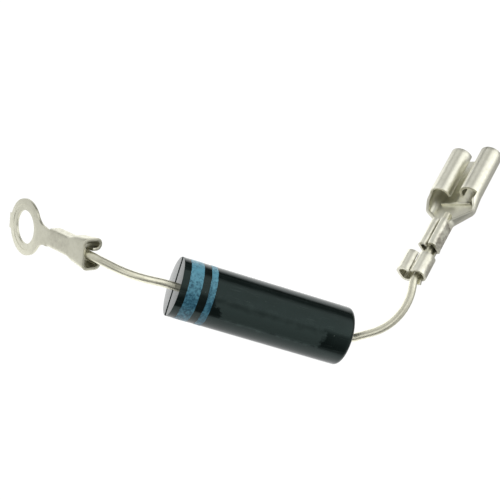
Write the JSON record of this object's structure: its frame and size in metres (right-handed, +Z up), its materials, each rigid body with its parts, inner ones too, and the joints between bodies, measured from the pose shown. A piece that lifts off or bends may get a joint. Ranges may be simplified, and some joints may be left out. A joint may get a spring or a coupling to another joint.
{
  "type": "high voltage diode",
  "caption": "Round black epoxy high voltage diode with two blue polarity bands, a crimped ring terminal on the cathode lead and a crimped push-on receptacle on the anode lead.",
  "frame": {"origin": "middle of the whole plan, on the surface the part lies on", "axes": "+X along the body from the cathode end to the anode end, +Y across it towards the receptacle, +Z up as it lies"},
  "size_m": [0.0607, 0.0322, 0.0137],
  "materials": {
    "black_epoxy": "glossy moulded epoxy",
    "blue_ink": "printed ink, slightly mottled",
    "silicon": "polished, sealed inside",
    "solder": "dull, sealed inside",
    "silicone_coat": "soft, sealed inside",
    "tinned_wire": "bright tin over copper",
    "tinned_sheet": "satin tin over brass"
  },
  "bodies": {
    "root": {"epoxy_body": "black_epoxy", "wide_blue_band": "blue_ink", "narrow_blue_band": "blue_ink", "silicon_dice": "silicon", "solder_discs": "solder", "junction_coat": "silicone_coat", "cathode_lead": "tinned_wire", "anode_lead": "tinned_wire", "ring_terminal": "tinned_sheet", "receptacle_terminal": "tinned_sheet"}
  },
  "joints": []
}
